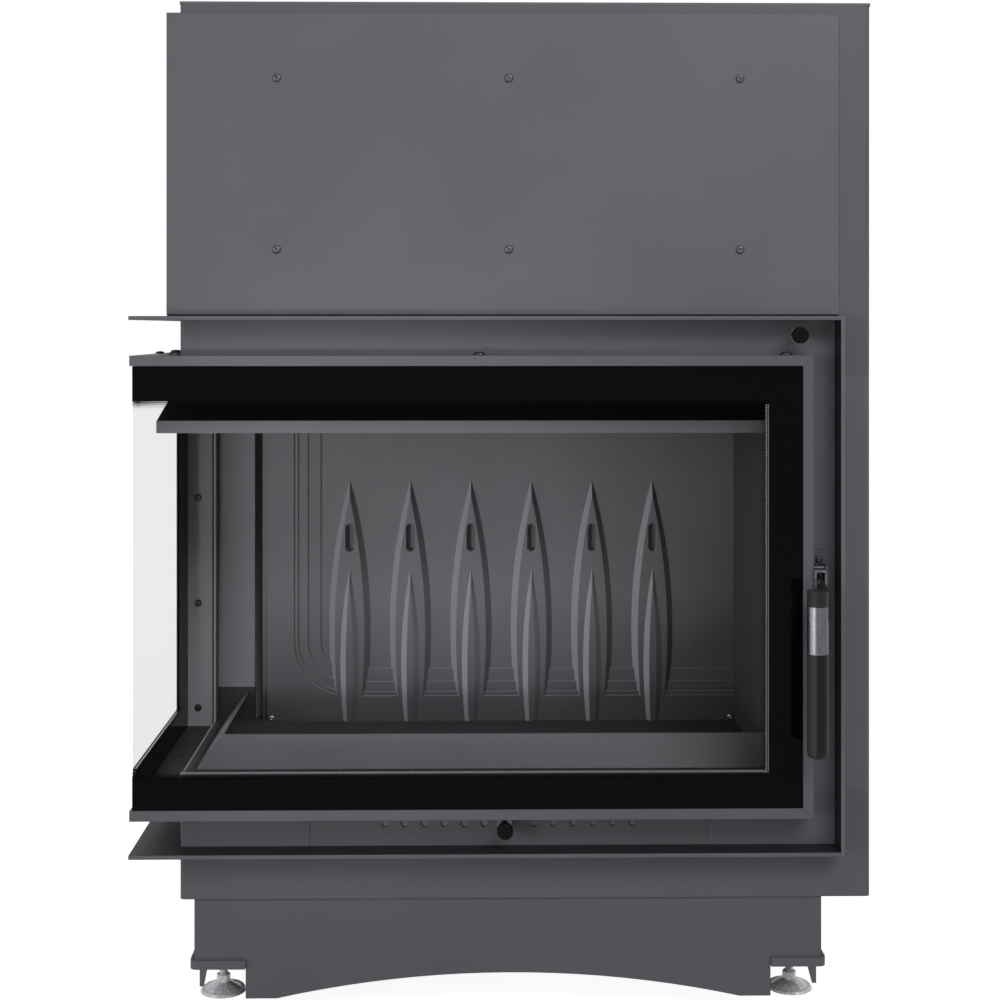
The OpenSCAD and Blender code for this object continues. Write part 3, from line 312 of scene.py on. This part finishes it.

# Stove black on iron is dull, with a grain of 2 mm and streaks where the coat ran. Painted light makes
# the ribs' upward faces and left flanks pale, and painted shade darkens the plate's low right and the post's
# foot.
lining_coat = coated("lining_coat", "#69686c", "#717075", rough=0.6, gloss=0.25, edge=0.0012, grain=0.0003,
                     grain_scale=500, cloud_scale=9.0, stretch=STREAKS)
tone_over(lining_coat, painted_shade_low_right, "#3f3e43")
tone_over(lining_coat, lit_left_flanks, "#9c9ba1")
# Painted light: faces that look upward are paler, as if lit from above.
tone_over(lining_coat, facing("Z", 1, 0.3), "#b5b4ba")
dress(lining_coat, "back_plate")
post_coat = coated("post_coat", "#737277", "#7a797e", rough=0.6, gloss=0.25, edge=0.0012, grain=0.0003,
                   grain_scale=500, cloud_scale=9.0, stretch=STREAKS)
# Painted shade: the post is near black below 333 mm.
tone_over(post_coat, below("Z", POST_SHADE_TOP), "#2b2a2e")
dress(post_coat, "left_lining")
# The right lining has a darker copy of the stove black: painted shade, where little light reaches.
right_lining_shaded_coat = coated("right_lining_shaded_coat", "#46454a", "#4e4d52", rough=0.6, gloss=0.2, edge=0.0012, grain=0.0003,
                    grain_scale=500)
dress(right_lining_shaded_coat, "right_lining")
hearth_coat = coated("hearth_coat", "#3b3a3e", "#444347", rough=0.66, gloss=0.2, edge=0.0012, grain=0.0004,
                     grain_scale=420)
dress(hearth_coat, "hearth_plate")


# Baffle: a folded plate of heat-proof steel over the fire, laid on ledges, whose lip faces the door.
# Its coat is smoother than the castings', and its top is black with soot.
baffle_coat = coated("baffle_coat", "#67666b", "#6d6c71", rough=0.55, gloss=0.25)
tone_over(baffle_coat, facing("Z", 1), "#1c1b1e")
dress(baffle_coat, "baffle")


# Sill and log guard: a cast sill all along the glazed sides, and a guard of two mitred steel strips
# that stands on it. Small zinc plated bolts hold the back plate's foot.
ALONG_SIDE = (1, 0.08, 1)

# The sill is dull and sooty. The guard's front strip is wiped clean, and its side strip is ground
# bright, with marks along its length.
sill_coat = coated("sill_coat", "#302f32", "#373639", rough=0.6, gloss=0.2, edge=0.0012, grain=0.0003,
                   grain_scale=420)
dress(sill_coat, "sill_plate")
guard_coat = coated("guard_coat", "#57565b", "#5e5d62", rough=0.5, gloss=0.3)
dress(guard_coat, "log_guard_front")
dress(bare("ground_strip", "#b4b4b7", "#cbcbce", rough=0.36, stretch=ALONG_SIDE), "log_guard_side")
dress(bare("guard_bolt_zinc", "#b4b7bb", "#dfe1e3", rough=0.22), "guard_bolts")


# Frame round the side opening: a folded steel strip, painted with the casing and screwed to it from
# inside. Its outer edge is a painted highlight: it is painted pale, as if lit from the left.
LIT_EDGE_X = -0.4185

opening_coat = coated("opening_coat", "#3c3b3f", "#454448")
tone_over(opening_coat, below("X", LIT_EDGE_X), "#a9a8ad")
dress(opening_coat, "side_opening_frame")


# Hinges: steel brackets with pins, welded to the casing, and knuckles welded to the door.
# Stove black makes them dark, with a slight sheen.
hinge_coat = coated("hinge_coat", "#2e2d30", "#39383b", rough=0.5, gloss=0.35)
dress(hinge_coat, "hinge_brackets", "door_knuckles")


# Shutters: two folded steel strips riveted behind the vent panel's rows of holes. They close each
# hole to a shallow hollow, and have the casing's matt paint in a lighter tone, which is painted light
# that lifts the shade in the hollows.
HOLES_MIDDLE, HOLES_Z = 0.007, 0.240
HOLES_NEAR, HOLES_FAR = 0.0235, 0.1655
SHUTTER_FRONT, SHUTTER_T, SHUTTER_HALF, SHUTTER_LIP = -0.210, 0.0012, 0.0075, 0.004

shutter_coat_painted_light = coated("shutter_coat_painted_light", "#716f74", "#77757a")
section = [(0, -SHUTTER_HALF), (SHUTTER_LIP, -SHUTTER_HALF), (SHUTTER_LIP, SHUTTER_T - SHUTTER_HALF),
           (SHUTTER_T, SHUTTER_T - SHUTTER_HALF), (SHUTTER_T, SHUTTER_HALF - SHUTTER_T),
           (SHUTTER_LIP, SHUTTER_HALF - SHUTTER_T), (SHUTTER_LIP, SHUTTER_HALF), (0, SHUTTER_HALF)]
for side, word in ((-1, "left"), (1, "right")):
    ends = sorted(HOLES_MIDDLE + side * reach for reach in (HOLES_NEAR, HOLES_FAR))
    loft("shutter_" + word, [[(x, SHUTTER_FRONT + y, HOLES_Z + z) for y, z in section] for x in ends],
         shutter_coat_painted_light, "body")


# Controls: steel rods in turned steel bushes, each with a black phenolic knob screwed on, and a small
# stop of bent steel beside the lower knob, which shows where the slide is shut.
# The moulded knobs are smooth and near black, and the blackened stop is satin.
knob_moulding = coated("knob_moulding", "#070607", "#0d0c0e", rough=0.38, gloss=0.06, edge=0.0004,
                       grain=0.00002)
dress(knob_moulding, "damper_rod", "air_control")
dress(bare("bush_steel", "#57565a", "#6d6c70", rough=0.36), "control_bushes")
black_steel = coated("black_steel", "#1d1c1f", "#2a292c", rough=0.36, gloss=0.4, edge=0.0003)

STOP_X, STOP_Z, STOP_FACE, STOP_REACH, STOP_HALF = 0.0155, 0.2435, -0.2128, 0.012, 0.0012
STOP_BEND = [(0.0, 0.0), (0.55, 0.0), (0.85, 0.0006), (1.0, 0.0022), (1.0, 0.0042)]
STOP_SIDES = 8
loft("slide_stop", [[(STOP_X + STOP_HALF * cos(a), STOP_FACE - STOP_REACH * share,
                      STOP_Z + rise + STOP_HALF * sin(a))
                     for a in [i * 2 * pi / STOP_SIDES for i in range(STOP_SIDES)]]
                    for share, rise in STOP_BEND], black_steel, "body")


# Door frame: bars of folded steel, mitred and welded at the corners, in the casing's paint with a
# smoother coat. The mitres at its right show as dark lines, drawn 0.9 mm wide so that they show.
MITRE_X, MITRE_TOP, MITRE_LOW, BAR, LINE_HALF = 0.3884, 0.8355, 0.2545, 0.013, 0.00045


def mitres(tree, place):
    split = add(tree, "SeparateXYZ", [place])
    across = add(tree, "Math", [MITRE_X, split.outputs["X"]], operation="SUBTRACT")
    from_top = add(tree, "Math", [MITRE_TOP, split.outputs["Z"]], operation="SUBTRACT")
    from_low = add(tree, "Math", [split.outputs["Z"], MITRE_LOW], operation="SUBTRACT")
    down = add(tree, "Math", [from_top, from_low], operation="MINIMUM")
    off = add(tree, "Math", [add(tree, "Math", [across, down], operation="SUBTRACT")], operation="ABSOLUTE")
    on_line = add(tree, "Math", [off, LINE_HALF], operation="LESS_THAN")
    on_bar = add(tree, "Math", [across, BAR], operation="LESS_THAN")
    return add(tree, "Math", [on_line, on_bar], operation="MULTIPLY")


frame_coat = coated("frame_coat", "#504e54", "#565459", rough=0.46)
tone_over(frame_coat, mitres, "#2e2d30")
dress(frame_coat, "door_frame_front")
wing_coat = coated("wing_coat", "#5b595f", "#615f65", rough=0.46)
dress(wing_coat, "door_frame_side")


# Retainers: folded steel strips behind the panes, screwed to the frame from inside with small screws
# of blackened steel. The screws in the door's top edge hold the bars' corners.
LEDGE_Z, TOP_Z, HEAD_R, HEAD_H, HEAD_SIDES = 0.2785, 0.8355, 0.0036, 0.0020, 18
HEAD = [(0.0, 1.0), (0.4, 1.0), (0.75, 0.85), (1.0, 0.55), (1.0, 0.42), (0.5, 0.42)]

# The strips' paint is paler than the casing's, and dust darkens their tops.
retainer_coat = coated("retainer_coat", "#8c8b90", "#939297", rough=0.5)
tone_over(retainer_coat, facing("Z", 1), "#2f2e31")
dress(retainer_coat, "front_retainers", "side_retainers")
dress(black_steel, "door_screws")
for name, x, y, z, size in (("ledge_screw_1", -0.4422, 0.1176, LEDGE_Z, 1.0),
                            ("ledge_screw_2", -0.4410, -0.0287, LEDGE_Z, 1.0),
                            ("top_screw_side", -0.4600, -0.0830, TOP_Z, 1.6)):
    loft(name, [[(x + r * size * HEAD_R * cos(a), y + r * size * HEAD_R * sin(a), z + h * size * HEAD_H)
                 for a in [i * 2 * pi / HEAD_SIDES for i in range(HEAD_SIDES)]] for h, r in HEAD],
         black_steel, "door")


# Panes: clear glass ceramic, 4 mm thick, clamped by the retainers, with an edge of black enamel
# printed and fired on.

# The enamel is smooth and deep black. It thins out to the clear field in rows of dots, and a light
# line of beads runs along its inner edge. Both are under 1 mm on the real pane, and are drawn 3 mm
# apart so that they show.
PRINT_ROUND = 0.006
DOT_BAND, DOT_PITCH, ROW_SHARE = 0.0135, 0.0030, 0.87
SIDE_LINE, LOW_LINE = (-0.0044, -0.0008), (-0.0078, -0.0046)
BEAD_PITCH, BEAD_GAP = 0.0030, 0.4
HAZE_SCALE, HAZE_SMOOTH, HAZE_ROUGH, ENAMEL_GLOSS = 9.0, 0.04, 0.08, 0.035


def pane(name, across, middle, half, opacity, line_tone, line_start):
    material, tree, place = new_material(name)
    split = add(tree, "SeparateXYZ", [place])
    level, height = split.outputs[across], split.outputs["Z"]

    # How far a point is past the clear field's edges, whose corners are rounded.
    past, out = [], []
    for value, centre, reach in zip((level, height), middle, half):
        offset = add(tree, "Math", [value, centre], operation="SUBTRACT")
        away = add(tree, "Math", [offset], operation="ABSOLUTE")
        past.append(add(tree, "Math", [away, reach], operation="SUBTRACT"))
        out.append(add(tree, "Math", [away, reach - PRINT_ROUND], operation="SUBTRACT"))
    outside = [add(tree, "Math", [value, 0.0], operation="MAXIMUM") for value in out]
    squares = [add(tree, "Math", [value, 2.0], operation="POWER") for value in outside]
    corner = add(tree, "Math", [add(tree, "Math", squares, operation="ADD")], operation="SQRT")
    inside = add(tree, "Math", [add(tree, "Math", out, operation="MAXIMUM"), 0.0], operation="MINIMUM")
    whole = add(tree, "Math", [corner, inside], operation="ADD")
    edge = add(tree, "Math", [whole, PRINT_ROUND], operation="SUBTRACT")
    solid = add(tree, "Math", [edge, 0.0], operation="GREATER_THAN")

    # Staggered dots, which shrink from the print's edge inwards.
    rows = add(tree, "Math", [height, DOT_PITCH * ROW_SHARE], operation="DIVIDE")
    row = add(tree, "Math", [rows], operation="FLOOR")
    columns = add(tree, "Math", [row, 0.5, add(tree, "Math", [level, DOT_PITCH], operation="DIVIDE")],
                  operation="MULTIPLY_ADD")
    squares = []
    for value in (columns, rows):
        share = add(tree, "Math", [value], operation="FRACT")
        offset = add(tree, "Math", [share, 0.5], operation="SUBTRACT")
        squares.append(add(tree, "Math", [offset, 2.0], operation="POWER"))
    from_dot = add(tree, "Math", [add(tree, "Math", squares, operation="ADD")], operation="SQRT")
    into_band = add(tree, "Math", [edge, DOT_BAND], operation="ADD")
    fade = add(tree, "Math", [into_band, DOT_BAND], operation="DIVIDE")
    size = add(tree, "Math", [add(tree, "Math", [fade, 0.0], operation="MAXIMUM"), 0.5], operation="MULTIPLY")
    dotted = add(tree, "Math", [from_dot, size], operation="LESS_THAN")
    ink = add(tree, "Math", [solid, dotted], operation="MAXIMUM")

    # The beaded line: along the field's side, and along its lower edge from line_start on.
    lines, beads = [], []
    for value, position, (start, end) in zip(past, (level, height), (SIDE_LINE, LOW_LINE)):
        begun = add(tree, "Math", [value, start], operation="GREATER_THAN")
        ended = add(tree, "Math", [value, end], operation="LESS_THAN")
        lines.append(add(tree, "Math", [begun, ended], operation="MULTIPLY"))
        count = add(tree, "Math", [position, BEAD_PITCH], operation="DIVIDE")
        share = add(tree, "Math", [count], operation="FRACT")
        beads.append(add(tree, "Math", [share, BEAD_GAP], operation="GREATER_THAN"))
    above = add(tree, "Math", [past[1], LOW_LINE[1]], operation="LESS_THAN")
    side_line = add(tree, "Math", [lines[0], above], operation="MULTIPLY")
    low_line = lines[1]
    for limit in (add(tree, "Math", [past[0], SIDE_LINE[1]], operation="LESS_THAN"),
                  add(tree, "Math", [height, middle[1]], operation="LESS_THAN"),
                  add(tree, "Math", [level, line_start], operation="GREATER_THAN")):
        low_line = add(tree, "Math", [low_line, limit], operation="MULTIPLY")
    on_line = add(tree, "Math", [side_line, low_line], operation="MAXIMUM")
    light = on_line
    for share in (*beads, line_tone):
        light = add(tree, "Math", [light, share], operation="MULTIPLY")
    ink = add(tree, "Math", [ink, on_line], operation="MAXIMUM")

    enamel = add(tree, "MixRGB", {"Fac": light, "Color1": srgb("#060507"), "Color2": srgb("#a3a2a8")})
    skin = add(tree, "MixRGB", {"Fac": ink, "Color1": srgb("#1c1d1d"), "Color2": enamel})
    haze = add(tree, "TexNoise", {"Vector": place, "Scale": HAZE_SCALE, "Detail": 3.0})
    glosses = ((NOISE_LOW, grey(HAZE_SMOOTH)), (NOISE_HIGH, grey(HAZE_ROUGH)))
    shader = add(tree, "BsdfPrincipled", {
        "Base Color": skin, "Alpha": add(tree, "Math", [ink, opacity], operation="MAXIMUM"),
        "Roughness": add(tree, "ValToRGB", [haze], stops=glosses), "Specular IOR Level": ENAMEL_GLOSS})
    add(tree, "OutputMaterial", [shader])
    return material


# Each pane's clear field runs on past the corner where the two panes meet.
FIELD_TOP, FIELD_PAST = 0.7798, 2.0
FRONT_RIGHT, FRONT_LOW, FRONT_OPACITY, FRONT_LINE, FRONT_LINE_START = 0.333, 0.3073, 0.025, 0.8, -0.404
SIDE_REAR, SIDE_LOW, SIDE_OPACITY, SIDE_LINE_TONE, SIDE_LINE_START = 0.0721, 0.311, 0.11, 0.15, -1.0
dress(pane("front_pane", "X", (FRONT_RIGHT - FIELD_PAST / 2, (FIELD_TOP + FRONT_LOW) / 2),
           (FIELD_PAST / 2, (FIELD_TOP - FRONT_LOW) / 2), FRONT_OPACITY, FRONT_LINE, FRONT_LINE_START),
      "front_glass")
dress(pane("side_pane", "Y", (SIDE_REAR - FIELD_PAST / 2, (FIELD_TOP + SIDE_LOW) / 2),
           (FIELD_PAST / 2, (FIELD_TOP - SIDE_LOW) / 2), SIDE_OPACITY, SIDE_LINE_TONE, SIDE_LINE_START),
      "side_glass")


# Seal: a rope of woven glass fibre, 8 mm wide, pressed into the door frame and stuck there.
# It is dull and soft grey, and the twill's threads, about 1 mm wide, are drawn 2.6 mm apart.
THREADS_SCALE, THREAD_HEIGHT = 380.0, 0.0006

glass_fibre_rope, tree, place = new_material("glass_fibre_rope")
weave = add(tree, "TexWave", {"Vector": place, "Scale": THREADS_SCALE, "Distortion": 1.5, "Detail": 2.0},
            bands_direction="DIAGONAL").outputs["Fac"]
fibres = ((NOISE_LOW, srgb("#2a292a")), (NOISE_HIGH, srgb("#4b4a4a")))
shader = add(tree, "BsdfPrincipled", {
    "Base Color": add(tree, "ValToRGB", [weave], stops=fibres), "Roughness": 0.9,
    "Normal": add(tree, "Bump", {"Strength": 0.8, "Distance": THREAD_HEIGHT, "Height": weave})})
add(tree, "OutputMaterial", [shader])
dress(glass_fibre_rope, "door_seal")


# Latch: a pressed steel bracket screwed to the door and a keeper welded to the body.
# Both are darkened and oiled, which makes them satin, and only their edges are rubbed bright.
dress(bare("latch_steel", "#4c4b50", "#6b6a70", rough=0.42), "latch_bracket")
dress(bare("keeper_steel", "#3b3a3e", "#504f54", rough=0.45), "latch_keeper")


# Handle: a cast lever with a cap, a steel ring under it, and a hanging grip, all on one pin.
# The lever and the grip are sprayed black, and the ring is brushed lengthwise.
ALONG_HANDLE = (1, 1, 0.06)
RIM = 1.0


# A painted highlight: a paler stripe on the left side, as if lit from the left, between two slants of its
# face.
def painted_left_highlight(strength, start, end):
    def mask(tree, place):
        begun, ended = facing("X", -1, start)(tree, place), facing("X", -1, end)(tree, place)
        stripe = add(tree, "Math", [begun, ended], operation="SUBTRACT")
        return add(tree, "Math", [stripe, strength], operation="MULTIPLY")
    return mask


# The black coat is soft and satin. Each piece carries a painted highlight on its left, brightest on the ring.
lever_coat = coated("lever_coat", "#1c1b1e", "#262528", rough=0.42, gloss=0.15, edge=0.0005)
tone_over(lever_coat, painted_left_highlight(0.5, 0.2, RIM), "#3a393c")
dress(lever_coat, "handle_lever")
brushed_ring = bare("brushed_ring", "#4e4d52", "#646368", rough=0.3, stretch=ALONG_HANDLE, line_scale=1400)
tone_over(brushed_ring, painted_left_highlight(0.85, 0.3, 0.8), "#98979d")
dress(brushed_ring, "handle_ring")
grip_coat = coated("grip_coat", "#110f13", "#18161a", rough=0.45, gloss=0.12, edge=0.0004, grain_scale=1600)
tone_over(grip_coat, painted_left_highlight(0.85, 0.2, RIM), "#3b3a3d")
dress(grip_coat, "handle_grip")


# Stage: a white room with a pale floor. A broad soft lamp hangs in front and above at the right, one
# stands far off at the left, and a narrow one looks into the firebox.
def hang(name, lamp, place, aim, power):
    lamp.energy = power
    made = bpy.data.objects.new(name, lamp)
    made.location = place
    made.rotation_euler = (Vector(aim) - Vector(place)).to_track_quat("-Z", "Y").to_euler()
    bpy.context.scene.collection.objects.link(made)


for name, place, aim, width, height, power in (
        ("front_lamp", (1.3, -3.0, 3.0), (0, 0, 0.8), 2.6, 1.4, 82),
        ("left_lamp", (-3.1, -3.3, 0.8), (0, 0.1, 0.6), 1.2, 2.4, 62)):
    soft = bpy.data.lights.new(name, "AREA")
    soft.shape = "RECTANGLE"
    soft.size, soft.size_y = width, height
    hang(name, soft, place, aim, power)

narrow = bpy.data.lights.new("firebox_lamp", "SPOT")
narrow.spot_size = radians(24)
narrow.spot_blend = 1.0
narrow.shadow_soft_size = 0.15
hang("firebox_lamp", narrow, (-0.95, -2.2, 0.35), (-0.03, 0.15, 0.66), 86)

# The room is white to the camera, to gloss and through glass, and lights the part only a little.
ROOM_LIGHT, FLOOR_GLOW, FLOOR_HALF = 0.3, 0.92, 30.0
WHITE = (1, 1, 1, 1)


def seen_white(tree, room, glow):
    path = add(tree, "LightPath").outputs
    seen = add(tree, "Math", [path["Is Camera Ray"], path["Is Glossy Ray"]], operation="MAXIMUM")
    seen = add(tree, "Math", [seen, path["Is Transmission Ray"]], operation="MAXIMUM")
    return add(tree, "Math", [seen, glow, room], operation="MULTIPLY_ADD")


world = bpy.data.worlds.new("white_room")
world.use_nodes = True
world.node_tree.nodes.clear()
sky = add(world.node_tree, "Background", {
    "Color": WHITE, "Strength": seen_white(world.node_tree, ROOM_LIGHT, 1.0 - ROOM_LIGHT)})
add(world.node_tree, "OutputWorld", [sky])
bpy.context.scene.world = world

floor_mesh = bpy.data.meshes.new("floor")
floor_mesh.from_pydata([(-FLOOR_HALF, -FLOOR_HALF, 0), (FLOOR_HALF, -FLOOR_HALF, 0),
                        (FLOOR_HALF, FLOOR_HALF, 0), (-FLOOR_HALF, FLOOR_HALF, 0)], [], [(0, 1, 2, 3)])
floor = bpy.data.objects.new("floor", floor_mesh)
bpy.context.scene.collection.objects.link(floor)

# Matt floor paint, rolled on, with clouds 330 mm wide.
floor_paint, tree, place = new_material("floor_paint")
clouds = add(tree, "TexNoise", {"Vector": place, "Scale": 3.0, "Detail": 3.0})
tones = ((NOISE_LOW, srgb("#9c9c9c")), (NOISE_HIGH, srgb("#a2a2a2")))
shader = add(tree, "BsdfPrincipled", {
    "Base Color": add(tree, "ValToRGB", [clouds], stops=tones), "Roughness": 0.9,
    "Emission Color": WHITE, "Emission Strength": seen_white(tree, 0.0, FLOOR_GLOW)})
add(tree, "OutputMaterial", [shader])
floor_mesh.materials.append(floor_paint)
